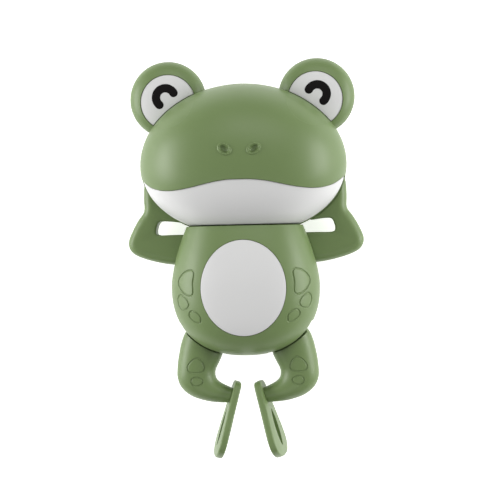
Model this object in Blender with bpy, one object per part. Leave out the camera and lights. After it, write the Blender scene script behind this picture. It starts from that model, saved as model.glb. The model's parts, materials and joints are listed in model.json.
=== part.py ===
"""Wind-up swimming frog, a plastic bath toy that floats on its back.

Frame: metres, +Z up. The toy lies on its back: belly up (+Z), head towards +Y, its own left side at +X.
The origin is the centre of the footprint, on the surface the toy lies on.

The clockwork: knob and arbor turn the great wheel; two wheel-and-pinion stages drive the crank.
The crank moves a slotted yoke along Y, and the yoke's two pins swing the legs about their hip pins.
"""

import math

import bmesh
import bpy
from mathutils import Matrix, Vector

MM = 0.001


def mm(*values):
    """Millimetres to metres, for one number or for a point."""
    scaled = tuple(v * MM for v in values)
    return scaled if len(scaled) > 1 else scaled[0]


# ---- driving dimensions ----
GAP = 0.3 * MM  # between pieces that rest on each other
RUN = 0.2 * MM  # radial clearance round turning shafts
WALL = 2.0 * MM
PARTING = 19.0 * MM  # height of the plane where front and rear shells meet
SIDES = {"left": 1, "right": -1}  # the frog's own sides, as signs of X

HEAD_CENTRE = Vector(mm(0, 39.3, 19))
HEAD_LOW = mm(43, 29.6, 20.5)  # half sizes towards -X, -Y, -Z
HEAD_HIGH = mm(43, 33.6, 29)
HEAD_OUTLINE_POWERS = (2.1, 1.97)  # roundness seen from the front, below and above the centre
HEAD_DEPTH_POWERS = (2.5, 2.2)  # roundness from front to back, behind and before the centre
CHIN = 13.8 * MM  # flat underside of the head
MOUTH = [(0, 32.3), (5, 32.2), (10, 31.6), (15, 30.6), (20, 29.5), (25, 28.7), (29.5, 28.4),
         (34, 28.9), (38, 30.4), (42, 33.6), (47, 38.5)]

EAR_CENTRE = mm(31.0, 67.1, 17)
EAR_RADIUS = 15.9 * MM
EAR_HALF_DEPTH = 8.0 * MM
EAR_POWER = 2.6
EYE_CENTRE = mm(30.6, 65.6)
EYE_RADIUS = 11.3 * MM
EYE_FACE = 22.9 * MM
EYE_THICKNESS = 1.5 * MM

BODY_MIDDLE = -11.0 * MM  # Y of the widest section
BODY_WIDTH = 30.9 * MM  # half width there
BODY_FRONT = 21.0 * MM
BODY_REAR = 20.5 * MM
BODY_UP = 54.6 * MM  # the upper curve would close this far above the middle
BODY_DOWN = 29.2 * MM
BODY_TOP = CHIN - GAP
SECTION_POWER = 2.3
BELLY_CENTRE = mm(0, -11.8)
BELLY_HALF = mm(17.4, 19.6)
NECK_HALF = mm(10, 8)
NECK_TOP = 20.6 * MM
FLANGE = 1.8 * MM  # how far the neck's flange stands out round it

# Clockwork axes, in the XY plane
MODULE = 0.5 * MM
WINDING = mm(0, -1)
SECOND = mm(10.5, -5.7)
THIRD = mm(8.5, -15.5)
CRANK = mm(0, -15.5)
GREAT_TEETH, SECOND_TEETH, THIRD_TEETH, PINION_TEETH = 36, 30, 24, 10
CRANK_THROW = 2.34 * MM

# Heights of the clockwork's layers
TRAY_Z = mm(10.0, 11.6)
GREAT_Z = mm(12.1, 13.9)
SECOND_Z = mm(14.6, 15.8)
PINION_Z = mm(12.0, 14.8)
THIRD_Z = mm(12.1, 13.6)
SPRING_Z = mm(16.9, 21.9)
TRAY_TOP = 22.0 * MM
COVER_Z = mm(22.7, 24.3)
DISC_Z = mm(24.9, 26.7)
LEVER_Z = mm(25.2, 27.0)
YOKE_Z = mm(28.0, 29.6)
WELL_RADIUS = 12.5 * MM
WELL_FLOOR = mm(8.0, 9.6)
CASE_SCREWS = [mm(-9.5, -14), mm(-10.5, 7.5), mm(12, 7), mm(18, -16.6)]
BODY_SCREWS = [mm(20.5, 9.5), mm(-20.5, 9.5), mm(25.5, -9), mm(-25.5, -9)]
HEAD_SCREWS = [mm(24, 42), mm(-24, 42), mm(0, 62)]

# Legs
HIP = mm(16, -26)
HIP_REST = math.radians(7)  # the lever is level this far below its place at rest
LEVER_REACH = 11.0 * MM  # from the hip pin to the yoke's pin, along X
LEG_Z = 16.5 * MM
LIMB = [  # (x, y) on the inner edge, (x, y) on the outer edge and half the depth along Z, hip to ankle
    (11.6, -26.0, 20.4, -26.0, 5.4), (10.4, -30.0, 25.3, -29.6, 6.2), (10.0, -35.0, 27.4, -33.8, 6.5),
    (10.5, -39.5, 28.7, -39.2, 6.5), (11.9, -42.8, 29.5, -44.6, 6.4), (13.3, -45.6, 29.5, -49.6, 6.2),
    (13.7, -47.8, 27.6, -53.8, 6.0), (13.2, -49.7, 23.4, -57.1, 5.6), (11.8, -51.2, 17.5, -59.1, 5.0),
    (9.5, -52.5, 12.5, -59.8, 4.4), (6.4, -53.9, 7.5, -60.0, 3.9), (3.5, -54.8, 3.5, -60.1, 3.7)]
LEG_SLOT_Z = mm(9.2, 23.8)
LEG_SWING = (-5, 7, 19)  # both ends of the left leg's swing and its middle, in degrees
FIN_HEEL = Vector(mm(2.9, -51.6, 16.5))
FIN_TOE = Vector(mm(12.2, -83.1, 16.5))
FIN_SPLAY = math.radians(8)
FIN_THICKNESS = 2.9 * MM
FIN_DISH = 1.6 * MM
FIN_LENS = [  # (distance from the heel, across) round the hollow in the outer face
    (12.5, -1), (16, 1.4), (21, 2.2), (26, 1.2), (28.5, -1), (26, -3.2), (21, -4.2), (16, -3.4)]
FIN_OUTLINE = [  # (distance from the heel, half width)
    (0.0, 3.0), (1.2, 5.2), (5.0, 6.8), (12.0, 8.8), (20.0, 11.6), (25.0, 12.8), (28.5, 12.2), (31.0, 9.6),
    (32.4, 5.6), (32.8, 0.0)]

ARM_Z = mm(4.5, 15.5)
ARM = [  # outline from the shoulder round the gap beside the neck, the hand, the elbow and back
    (23, 10.6), (30, 10.6), (36.2, 10.6), (37.6, 11.9), (36.9, 15.0), (35.4, 16.4), (31, 16.2), (27, 15.9),
    (25.0, 18.5), (25.6, 24), (27.5, 29.5), (31.5, 33.2), (35.5, 35.6), (39.5, 35.6), (42.2, 32.5),
    (42.7, 26), (42.7, 20.8), (45.1, 17.2), (47.5, 13.0), (49.4, 8.4), (49.1, 5.2), (47.0, 2.7),
    (42.3, 0.6), (35.4, -1.2), (29, -2.1), (23, -2.6)]
ARM_GAP_CORNERS = 8  # the first of those points go round the gap, and keep square edges
SHOULDER = mm(4.5, 10.0)  # Y and Z of the arm's peg

# ---- finishes: colour, roughness, metallic ----
FINISHES = {
    "green_plastic": ((0.235, 0.305, 0.155), 0.42, 0.0),
    "white_plastic": ((0.70, 0.70, 0.69), 0.4, 0.0),
    "inner_plastic": ((0.55, 0.56, 0.55), 0.5, 0.0),
    "gear_plastic": ((0.80, 0.78, 0.70), 0.45, 0.0),
    "steel": ((0.60, 0.61, 0.62), 0.3, 1.0),
    "spring_steel": ((0.25, 0.27, 0.32), 0.35, 1.0),
    "rubber": ((0.03, 0.03, 0.03), 0.7, 0.0),
}


# ---- modelling helpers ----
def finish(name):
    """The Principled material of that finish, made once."""
    material = bpy.data.materials.get(name)
    if material is None:
        colour, roughness, metallic = FINISHES[name]
        material = bpy.data.materials.new(name)
        material.use_nodes = True
        shader = material.node_tree.nodes["Principled BSDF"]
        shader.inputs["Base Color"].default_value = (*colour, 1)
        shader.inputs["Roughness"].default_value = roughness
        shader.inputs["Metallic"].default_value = metallic
    return material


def add(name, bm, finish_name="inner_plastic"):
    """A bmesh made into an object, with its faces pointing out."""
    bm.normal_update()
    bmesh.ops.recalc_face_normals(bm, faces=bm.faces)
    mesh = bpy.data.meshes.new(name)
    bm.to_mesh(mesh)
    bm.free()
    obj = bpy.data.objects.new(name, mesh)
    bpy.context.scene.collection.objects.link(obj)
    mesh.materials.append(finish(finish_name))
    return obj


def combine(target, tool, operation):
    """Applies one exact Boolean and removes the tool."""
    modifier = target.modifiers.new("combine", "BOOLEAN")
    modifier.operation = operation
    modifier.solver = "EXACT"
    modifier.object = tool
    graph = bpy.context.evaluated_depsgraph_get()
    made = bpy.data.meshes.new_from_object(target.evaluated_get(graph))
    target.modifiers.clear()
    target.data = made
    bpy.data.objects.remove(tool)
    return target


def cut(target, *tools):
    for tool in tools:
        combine(target, tool, "DIFFERENCE")
    return target


def join(target, *tools):
    for tool in tools:
        combine(target, tool, "UNION")
    return target


def keep(target, tool):
    return combine(target, tool, "INTERSECT")


def copy_of(obj, name):
    twin = bpy.data.objects.new(name, obj.data.copy())
    bpy.context.scene.collection.objects.link(twin)
    return twin


def mirrored(obj, name):
    """A copy on the other side of the plane X = 0, with its faces still pointing out."""
    twin = copy_of(obj, name)
    twin.data.transform(Matrix.Diagonal((-1, 1, 1, 1)))
    twin.data.flip_normals()
    return twin


def cylinder(centre, radius, z_range, name="tool", finish_name="inner_plastic", segments=24, top=None):
    """An upright cylinder, or a cone where top gives another radius."""
    low, high = z_range
    bm = bmesh.new()
    place = Matrix.Translation((centre[0], centre[1], (low + high) / 2))
    bmesh.ops.create_cone(
        bm, cap_ends=True, segments=segments, radius1=radius,
        radius2=radius if top is None else top, depth=high - low, matrix=place)
    return add(name, bm, finish_name)


def block(low, high, name="tool", finish_name="inner_plastic"):
    bm = bmesh.new()
    bmesh.ops.create_cube(bm, size=1)
    size = Vector(high) - Vector(low)
    middle = (Vector(high) + Vector(low)) / 2
    bmesh.ops.transform(bm, matrix=Matrix.Translation(middle) @ Matrix.Diagonal((*size, 1)), verts=bm.verts)
    return add(name, bm, finish_name)


def hull(circles, z_range, name="tool", finish_name="inner_plastic", segments=16):
    """The upright convex prism that just holds the circles, each (centre, radius)."""
    bm = bmesh.new()
    for centre, radius in circles:
        for z in z_range:
            place = Matrix.Translation((centre[0], centre[1], z))
            bmesh.ops.create_circle(bm, segments=segments, radius=radius, matrix=place)
    made = bmesh.ops.convex_hull(bm, input=bm.verts)
    inside = [v for v in made["geom_interior"] if isinstance(v, bmesh.types.BMVert)]
    bmesh.ops.delete(bm, geom=inside, context="VERTS")
    bmesh.ops.dissolve_limit(bm, angle_limit=math.radians(1), verts=bm.verts, edges=bm.edges)
    return add(name, bm, finish_name)


def prism(outline, z_range, name="tool", finish_name="inner_plastic"):
    """An outline in the XY plane, in metres, extruded between two heights."""
    low, high = z_range
    bm = bmesh.new()
    face = bm.faces.new([bm.verts.new((x, y, low)) for x, y in outline])
    grown = bmesh.ops.extrude_face_region(bm, geom=[face])
    top = [v for v in grown["geom"] if isinstance(v, bmesh.types.BMVert)]
    bmesh.ops.translate(bm, verts=top, vec=(0, 0, high - low))
    return add(name, bm, finish_name)


def through(points, steps):
    """A Catmull-Rom curve through the points, which may hold any number of values each."""
    ends = [points[0], *points, points[-1]]
    found = []
    for a, b, c, d in zip(ends, ends[1:], ends[2:], ends[3:]):
        for i in range(steps):
            t = i / steps
            found.append(tuple(
                0.5 * (2 * q + (r - p) * t + (2 * p - 5 * q + 4 * r - s) * t * t + (3 * q - p - 3 * r + s) * t ** 3)
                for p, q, r, s in zip(a, b, c, d)))
    return [*found, tuple(points[-1])]


def clip(bm, point, outward):
    """Cuts off what lies beyond a plane and closes the cut."""
    geometry = [*bm.verts, *bm.edges, *bm.faces]
    cut_edges = bmesh.ops.bisect_plane(
        bm, geom=geometry, dist=1e-7, plane_co=point, plane_no=outward, clear_outer=True)["geom_cut"]
    edges = [e for e in cut_edges if isinstance(e, bmesh.types.BMEdge)]
    bmesh.ops.contextual_create(bm, geom=edges)


# ---- the outer forms ----
def head_point(direction, low, high):
    """The point of the head that lies in a direction from its centre."""
    x, y, z = (direction[i] / (high[i] if direction[i] >= 0 else low[i]) for i in range(3))
    p, q = HEAD_OUTLINE_POWERS[y >= 0], HEAD_DEPTH_POWERS[z >= 0]
    outline = (abs(x) ** p + abs(y) ** p) ** (1 / p)
    return HEAD_CENTRE + Vector(direction) * (outline ** q + abs(z) ** q) ** (-1 / q)


def head_form(inset=0.0, segments=(30, 16), name="tool"):
    bm = bmesh.new()
    bmesh.ops.create_uvsphere(bm, u_segments=segments[0], v_segments=segments[1], radius=1)
    low = [s - inset for s in HEAD_LOW]
    high = [s - inset for s in HEAD_HIGH]
    for v in bm.verts:
        v.co = head_point(v.co, low, high)
    clip(bm, (0, CHIN + inset, 0), (0, -1, 0))
    clip(bm, (0, 0, inset), (0, 0, -1))
    return add(name, bm, "green_plastic")


def ear_form(side, inset=0.0, segments=(22, 8)):
    """A plump disc that faces +Z."""
    bm = bmesh.new()
    bmesh.ops.create_uvsphere(bm, u_segments=segments[0], v_segments=segments[1], radius=1)
    radius, depth = EAR_RADIUS - inset, EAR_HALF_DEPTH - inset
    centre = Vector((side * EAR_CENTRE[0], EAR_CENTRE[1], EAR_CENTRE[2]))
    for v in bm.verts:
        flat = math.hypot(v.co.x, v.co.y)
        scale = ((flat / radius) ** EAR_POWER + (abs(v.co.z) / depth) ** EAR_POWER) ** (-1 / EAR_POWER)
        v.co = centre + v.co * scale
    return add("ear", bm, "green_plastic")


def taper(distance, length, power):
    """How much of its full size a form keeps at a distance from its widest section."""
    return max(0.0, 1 - (distance / length) ** power) ** (1 / power)


def body_form(inset=0.0, segments=(28, 18), name="tool"):
    """The egg of the body. The sphere's poles lie along Y, and its rings become the sections."""
    bm = bmesh.new()
    turn = Matrix.Rotation(math.radians(-90), 4, "X")
    bmesh.ops.create_uvsphere(bm, u_segments=segments[0], v_segments=segments[1], radius=1, matrix=turn)
    for v in bm.verts:
        height, ring = v.co.y, math.hypot(v.co.x, v.co.z)
        cosine, sine = (v.co.x / ring, v.co.z / ring) if ring > 1e-6 else (0, 0)
        if height >= 0:
            y = BODY_MIDDLE + height * (BODY_UP - inset)
            wide = deep = taper(height, 1, 1.5)
        else:
            y = BODY_MIDDLE + height * (BODY_DOWN - inset)
            wide, deep = taper(-height, 1, 2.3), taper(-height, 1, 2.6)
        depth = (BODY_FRONT if sine >= 0 else BODY_REAR) - inset
        x = (BODY_WIDTH - inset) * wide * math.copysign(abs(cosine) ** (2 / SECTION_POWER), cosine)
        z = depth * deep * math.copysign(abs(sine) ** (2 / SECTION_POWER), sine)
        v.co = (x, y, PARTING + z)
    bmesh.ops.remove_doubles(bm, verts=bm.verts, dist=1e-6)
    clip(bm, (0, BODY_TOP - inset, 0), (0, 1, 0))
    clip(bm, (0, 0, inset), (0, 0, -1))
    return add(name, bm, "green_plastic")


def limb_form(name, steps=2, around=14):
    """The left leg from hip to ankle: oval rings, each laid from the inner edge to the outer."""
    rows = through([tuple(v * MM for v in row) for row in LIMB], steps)
    bm = bmesh.new()

    def ring(row, size=1.0, back=0.0):
        inner, outer = Vector(row[:2]), Vector(row[2:4])
        middle, reach = (inner + outer) / 2 + Vector((0, back)), (outer - inner) / 2 * size
        turns = [2 * math.pi * i / around for i in range(around)]
        return [bm.verts.new((*(middle + reach * math.cos(a)), LEG_Z + row[4] * size * math.sin(a))) for a in turns]

    half = (Vector(rows[0][:2]) - Vector(rows[0][2:4])).length / 2
    ends = [math.radians(a) for a in (20, 45, 70)]
    rings = [ring(rows[0], math.sin(a), math.cos(a) * half) for a in ends] + [ring(row) for row in rows]
    for one, two in zip(rings, rings[1:]):
        for i in range(around):
            bm.faces.new((one[i - 1], one[i], two[i], two[i - 1]))
    bm.faces.new(rings[0])
    bm.faces.new(rings[-1])
    return add(name, bm, "green_plastic")


# ---- gears ----
def gear_outline(centre, teeth, phase, addendum=0.8, backlash=0.05 * MM):
    """An involute outline with a tooth centred on the angle phase."""
    pitch = MODULE * teeth / 2
    base = pitch * math.cos(math.radians(20))
    tip, root = pitch + addendum * MODULE, pitch - 1.15 * MODULE

    def spread(radius):
        """The involute's polar angle at a radius."""
        turn = math.acos(min(1, base / radius))
        return math.tan(turn) - turn

    half = math.pi / (2 * teeth) - backlash / pitch + spread(pitch)
    start = max(base, root)
    flank = [(root, half - spread(start)), (tip, half - spread(tip))]
    points = []
    for tooth in range(teeth):
        middle = phase + 2 * math.pi * tooth / teeth
        points += [(r, middle - a) for r, a in flank]
        points += [(r, middle + a) for r, a in reversed(flank)]
    return [(centre[0] + r * math.cos(a), centre[1] + r * math.sin(a)) for r, a in points]


def bearing(start, end):
    return math.atan2(end[1] - start[1], end[0] - start[0])


def meshing(phase, teeth, centre, other_teeth, other):
    """The phase of the other gear whose space takes the first gear's nearest tooth."""
    towards = bearing(centre, other)
    ahead = (towards - phase) % (2 * math.pi / teeth)
    shift = ahead * teeth / other_teeth
    return towards + math.pi + shift + math.pi / other_teeth


def gear(name, centre, teeth, phase, z_range):
    return prism(gear_outline(centre, teeth, phase), z_range, name, "gear_plastic")


# ---- the head ----
def mouth_prism(drop):
    """Everything below the mouth line, lowered by drop."""
    right = through(MOUTH, 2)
    line = [(-x, y) for x, y in reversed(right[1:])] + right
    outline = [(x * MM, y * MM - drop) for x, y in line] + [mm(47, 0), mm(-47, 0)]
    return prism(outline, mm(-5, 60))


def neck(half, y_range, name="tool"):
    """An oval bar along Y."""
    low, high = y_range
    bm = bmesh.new()
    place = (Matrix.Translation((0, (low + high) / 2, PARTING)) @ Matrix.Diagonal((half[0], 1, half[1], 1))
             @ Matrix.Rotation(math.radians(90), 4, "X"))
    bmesh.ops.create_cone(bm, cap_ends=True, segments=28, radius1=1, radius2=1, depth=high - low, matrix=place)
    return add(name, bm, "green_plastic")


def grown(half, by):
    return (half[0] + by, half[1] + by)


def eye_at(side):
    return (side * EYE_CENTRE[0], EYE_CENTRE[1])


def make_head():
    far = 60 * MM
    shell = join(head_form(), *[ear_form(s) for s in SIDES.values()])
    hollow = head_form(WALL, (16, 8))
    for side in SIDES.values():
        hollow_ear = keep(ear_form(side, WALL, (12, 4)), block(mm(-60, 30, -5), (far, far * 2, PARTING + 0.3 * MM)))
        join(hollow, hollow_ear)
    cut(shell, hollow, neck(grown(NECK_HALF, 0.4 * MM), mm(5, 19)))

    front = keep(copy_of(shell, "head_front_shell"), block(mm(-60, 0, 0), (far, 2 * far, far)))
    cut(front, block(mm(-60, 0, -5), (far, 2 * far, PARTING + GAP / 2)))
    rear = cut(shell, block((-far, 0, PARTING - GAP / 2), (far, 2 * far, far)))
    rear.name = "head_rear_shell"

    jaw = keep(copy_of(front, "jaw_panel"), mouth_prism(GAP))
    jaw.data.materials.clear()
    jaw.data.materials.append(finish("white_plastic"))
    cut(front, mouth_prism(0))

    for word, side in SIDES.items():
        floor = EYE_FACE - EYE_THICKNESS - GAP
        cut(front, cut(cylinder(eye_at(side), EYE_RADIUS + GAP, (floor, far), segments=28), head_form(0.05 * MM)))
        panel = cylinder(eye_at(side), EYE_RADIUS, (floor + GAP, EYE_FACE), f"eye_panel_{word}", "white_plastic", 28)
        cut(panel, head_form(-GAP))

    for i, spot in enumerate(HEAD_SCREWS, 1):
        seat = 7 * MM
        front_boss = keep(cylinder(spot, 3 * MM, (PARTING + GAP / 2, far), segments=10), head_form(0.5 * MM))
        join(front, front_boss)
        cut(front, cylinder(spot, 1.45 * MM, (PARTING - 1 * MM, 31 * MM), segments=10))
        rear_boss = keep(cylinder(spot, 3.6 * MM, (0, PARTING - GAP / 2), segments=10), head_form(0.5 * MM))
        join(rear, rear_boss)
        cut(rear, cylinder(spot, 2.6 * MM, (-1 * MM, seat), segments=10),
            cylinder(spot, 1.5 * MM, (0, 20 * MM), segments=10))
        make_screw(f"head_screw_{i}", spot, seat, 29 * MM)


def make_screw(name, spot, seat, tip):
    """A pan-head screw put in from the back, with a cross recess."""
    screw = cylinder(spot, 2.2 * MM, (seat - 1.9 * MM, seat - 0.1 * MM), name, "steel", 10, top=2.3 * MM)
    join(screw, cylinder(spot, 1.2 * MM, (seat - 0.5 * MM, tip), segments=10))
    cross = [mm(1.3, 0.3, 0.8), mm(0.3, 1.3, 0.8)]
    for half in cross:
        low = (spot[0] - half[0], spot[1] - half[1], seat - 2.5 * MM)
        high = (spot[0] + half[0], spot[1] + half[1], seat - 1.9 * MM + half[2])
        cut(screw, block(low, high))


# ---- the body ----
def belly_prism(grow):
    """An upright oval bar as large as the belly panel, and more by grow."""
    count = 32
    outline = []
    for i in range(count):
        turn = 2 * math.pi * i / count
        outline.append(((BELLY_HALF[0] + grow) * math.cos(turn),
                        BELLY_CENTRE[1] + (BELLY_HALF[1] + grow) * math.sin(turn)))
    return prism(outline, mm(25, 50))


def leg_slot(side):
    """The room that the leg's upper end sweeps as it swings."""
    circles = []
    for degrees in LEG_SWING:
        swing = Matrix.Rotation(math.radians(degrees), 2)
        for row in LIMB[:4]:
            inner, outer = Vector(mm(*row[:2])), Vector(mm(*row[2:4]))
            spot = Vector(HIP) + swing @ ((inner + outer) / 2 - Vector(HIP))
            circles.append(((side * spot.x, spot.y), (outer - inner).length / 2 + 0.7 * MM))
    return hull(circles, LEG_SLOT_Z)


def make_body():
    far = 60 * MM
    shell = body_form()
    join(shell, neck(NECK_HALF, (10 * MM, NECK_TOP)), neck(grown(NECK_HALF, FLANGE), (NECK_TOP - 2 * MM, NECK_TOP)))
    cut(shell, body_form(WALL, (16, 10)), neck(grown(NECK_HALF, -2.2 * MM), mm(5, 30)))
    front = keep(copy_of(shell, "body_front_shell"), block((-far, -far, PARTING + GAP / 2), (far, far, far)))
    rear = cut(shell, block((-far, -far, PARTING - GAP / 2), (far, far, far)))
    rear.name = "body_rear_shell"

    # The winding well and the bosses that hold the clockwork stand on the back
    inside = 0.5 * MM
    join(rear, keep(cylinder(WINDING, WELL_RADIUS + 1.6 * MM, (-2 * MM, WELL_FLOOR[1]), segments=28), body_form(inside)))
    for spot in CASE_SCREWS:
        join(rear, keep(cylinder(spot, 2.6 * MM, (0, TRAY_Z[0] - GAP), segments=10), body_form(inside)))
    for side in SIDES.values():
        hip = (side * HIP[0], HIP[1])
        join(rear, keep(cylinder(hip, 3 * MM, (0, 8.8 * MM), segments=10), body_form(inside)))
        join(front, keep(cylinder(hip, 3 * MM, (27.6 * MM, far), segments=10), body_form(inside)))
    for spot in BODY_SCREWS:
        join(rear, keep(cylinder(spot, 3.6 * MM, (0, PARTING - GAP / 2), segments=10), body_form(inside)))
        join(front, keep(cylinder(spot, 3 * MM, (PARTING + GAP / 2, far), segments=10), body_form(inside)))

    # Openings and holes
    cut(rear, cylinder(WINDING, WELL_RADIUS, (-2 * MM, WELL_FLOOR[0]), segments=28),
        cylinder(WINDING, 2.3 * MM, mm(5, 12), segments=20))
    for spot in CASE_SCREWS:
        cut(rear, cylinder(spot, 1.4 * MM, mm(4, 12), segments=10))
    for i, spot in enumerate(BODY_SCREWS, 1):
        seat = 9 * MM
        cut(rear, cylinder(spot, 2.6 * MM, (-1 * MM, seat), segments=10),
            cylinder(spot, 1.5 * MM, (0, 20 * MM), segments=10))
        cut(front, cylinder(spot, 1.45 * MM, (PARTING - 1 * MM, 27 * MM), segments=10))
        make_screw(f"body_screw_{i}", spot, seat, 26 * MM)
    for word, side in SIDES.items():
        hip = (side * HIP[0], HIP[1])
        cut(rear, cylinder(hip, 1.7 * MM, mm(6.5, 10), segments=10))
        cut(front, cylinder(hip, 1.7 * MM, mm(26, 31), segments=10))
        cylinder(hip, 1.5 * MM, mm(6.8, 30.6), f"hip_pin_{word}", "steel", 16)
        cut(front, leg_slot(side))
        cut(rear, leg_slot(side))
        cut(rear, shoulder_peg(side, 0.3 * MM, 40 * MM))

    # The belly panel sits in its own shallow recess
    cut(front, cut(belly_prism(0.2 * MM), body_form(1.1 * MM)))
    panel = keep(body_form(-0.2 * MM, name="belly_panel"), belly_prism(0))
    panel.data.materials.clear()
    panel.data.materials.append(finish("white_plastic"))
    cut(panel, body_form(0.8 * MM))


# ---- the arms ----
def shoulder_peg(side, grow, reach):
    y, z = SHOULDER
    bm = bmesh.new()
    inner = 22.6 * MM - grow
    place = Matrix.Translation((side * (inner + reach) / 2, y, z)) @ Matrix.Rotation(math.radians(90), 4, "Y")
    bmesh.ops.create_cone(
        bm, cap_ends=True, segments=16, radius1=2.8 * MM + grow, radius2=2.8 * MM + grow,
        depth=reach - inner, matrix=place)
    return add("tool", bm)


def make_arm():
    """A thick plate with rounded edges, trimmed where it meets the body and the back of the head."""
    low, high = ARM_Z
    bm = bmesh.new()
    face = bm.faces.new([bm.verts.new((x * MM, y * MM, low)) for x, y in ARM])
    raised = bmesh.ops.extrude_face_region(bm, geom=[face])
    top = [v for v in raised["geom"] if isinstance(v, bmesh.types.BMVert)]
    bmesh.ops.translate(bm, verts=top, vec=(0, 0, high - low))
    inner = ARM[:ARM_GAP_CORNERS]

    def on_outer_rim(edge):
        """Whether an edge goes round a flat face, outside the gap beside the neck."""
        if abs(edge.verts[0].co.z - edge.verts[1].co.z) > 1e-6:
            return False
        return not any(math.dist(v.co.xy / MM, spot) < 0.01 for v in edge.verts for spot in inner)

    rims = [edge for edge in bm.edges if on_outer_rim(edge)]
    bmesh.ops.bevel(bm, geom=rims, offset=2.6 * MM, offset_type="OFFSET", affect="EDGES",
                    segments=2, profile=0.5, material=-1, clamp_overlap=True)
    arm = add("arm_left", bm, "green_plastic")
    cut(arm, body_form(-GAP), head_form(-GAP))
    join(arm, keep(shoulder_peg(1, 0, 34 * MM), block(mm(-60, -20, 0), mm(60, 20, 30))))
    mirrored(arm, "arm_right")


# ---- legs ----
def fin_frame():
    """The left fin's own axes: along its length, across its width and out of its outer face."""
    along = (FIN_TOE - FIN_HEEL).normalized()
    out = Vector((-along.y, along.x, 0))
    across = Vector((0, 0, 1)) * math.cos(FIN_SPLAY) - out * math.sin(FIN_SPLAY)
    face = along.cross(across) * -1
    matrix = Matrix((along, across, face)).transposed().to_4x4()
    matrix.translation = FIN_HEEL
    return matrix


def make_fin():
    """A webbed foot: a paddle with a narrow hollow in its outer face."""
    half = through(FIN_OUTLINE, 2)
    outline = [(u * MM, w * MM) for u, w in half] + [(u * MM, -w * MM) for u, w in reversed(half[:-1])]
    bm = bmesh.new()
    face = bm.faces.new([bm.verts.new((u, w, 0)) for u, w in outline])
    grown_part = bmesh.ops.extrude_face_region(bm, geom=[face])
    top = [v for v in grown_part["geom"] if isinstance(v, bmesh.types.BMVert)]
    bmesh.ops.translate(bm, verts=top, vec=(0, 0, FIN_THICKNESS))
    bm.transform(fin_frame())
    fin = add("fin_left", bm, "green_plastic")
    bm = bmesh.new()
    face = bm.faces.new([bm.verts.new((u * MM, w * MM, FIN_THICKNESS - FIN_DISH)) for u, w in FIN_LENS])
    raised = bmesh.ops.extrude_face_region(bm, geom=[face])
    top = [v for v in raised["geom"] if isinstance(v, bmesh.types.BMVert)]
    bmesh.ops.translate(bm, verts=top, vec=(0, 0, 4 * MM))
    bm.transform(fin_frame())
    cut(fin, add("tool", bm))
    cut(fin, ankle_peg(0.25 * MM))
    mirrored(fin, "fin_right")


def ankle_peg(grow):
    """The peg on the shin that the fin is pressed onto."""
    bm = bmesh.new()
    place = Matrix.Translation((7.4 * MM, -56.7 * MM, LEG_Z)) @ Matrix.Rotation(math.radians(90), 4, "Y")
    bmesh.ops.create_cone(bm, cap_ends=True, segments=14, radius1=1.5 * MM + grow, radius2=1.5 * MM + grow,
                          depth=3.6 * MM + 2 * grow, matrix=place)
    return add("tool", bm)


def fin_side_prism():
    """The room on the fin's side of its outer face, which the shin stops short of."""
    bm = bmesh.new()
    bmesh.ops.create_cube(bm, size=1)
    size = Matrix.Diagonal((*mm(60, 60, 20), 1))
    centre = Matrix.Translation((10 * MM, 0, FIN_THICKNESS + GAP - 10 * MM))
    bm.transform(fin_frame() @ centre @ size)
    return add("tool", bm)


def make_leg():
    """The left leg, the lever pressed on its hub, and their mirror images."""
    leg = limb_form("leg_left")
    cut(leg, fin_side_prism())
    join(leg, ankle_peg(0), cylinder(HIP, 3.6 * MM, mm(13, 26.8), segments=18))
    cut(leg, cylinder(HIP, 1.5 * MM + RUN, mm(5, 30), segments=14))

    # The lever's slot takes the yoke's pin
    tip = Vector((HIP[0] - LEVER_REACH, HIP[1] + LEVER_REACH * math.tan(HIP_REST)))
    outward = (tip - Vector(HIP)).normalized()
    near, far = tip - outward * 0.7 * MM, tip + outward * 0.7 * MM
    lever = hull([(HIP, 4.5 * MM), (near, 2.5 * MM), (far, 2.5 * MM)], LEVER_Z, "lever_left")
    cut(lever, cylinder(HIP, 3.8 * MM, mm(20, 30), segments=18),
        hull([(near, 1.4 * MM), (far, 1.4 * MM)], mm(20, 30)))
    mirrored(leg, "leg_right")
    mirrored(lever, "lever_right")


# ---- the clockwork ----
def case_circles(wall):
    """The circles that the movement's case runs round, with or without its wall."""
    spots = [(WINDING, 10.4), (SECOND, 8.3), (THIRD, 6.8), (CRANK, 3.6), (mm(0, -21.6), 1.4)]
    posts = [(spot, 2.4) for spot in CASE_SCREWS]
    return [(centre, r * MM + wall) for centre, r in spots + posts]


def ring_seal(name, centre, z, ring, tube):
    """An O-ring: a small circle spun round an upright axis."""
    bm = bmesh.new()
    place = Matrix.Translation((centre[0] + ring, centre[1], z)) @ Matrix.Rotation(math.radians(90), 4, "X")
    bmesh.ops.create_circle(bm, segments=6, radius=tube, matrix=place)
    bmesh.ops.spin(bm, geom=[*bm.verts, *bm.edges], cent=(centre[0], centre[1], z), axis=(0, 0, 1),
                   angle=2 * math.pi, steps=12, use_merge=True)
    bmesh.ops.remove_doubles(bm, verts=bm.verts, dist=1e-6)
    return add(name, bm, "rubber")


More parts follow.
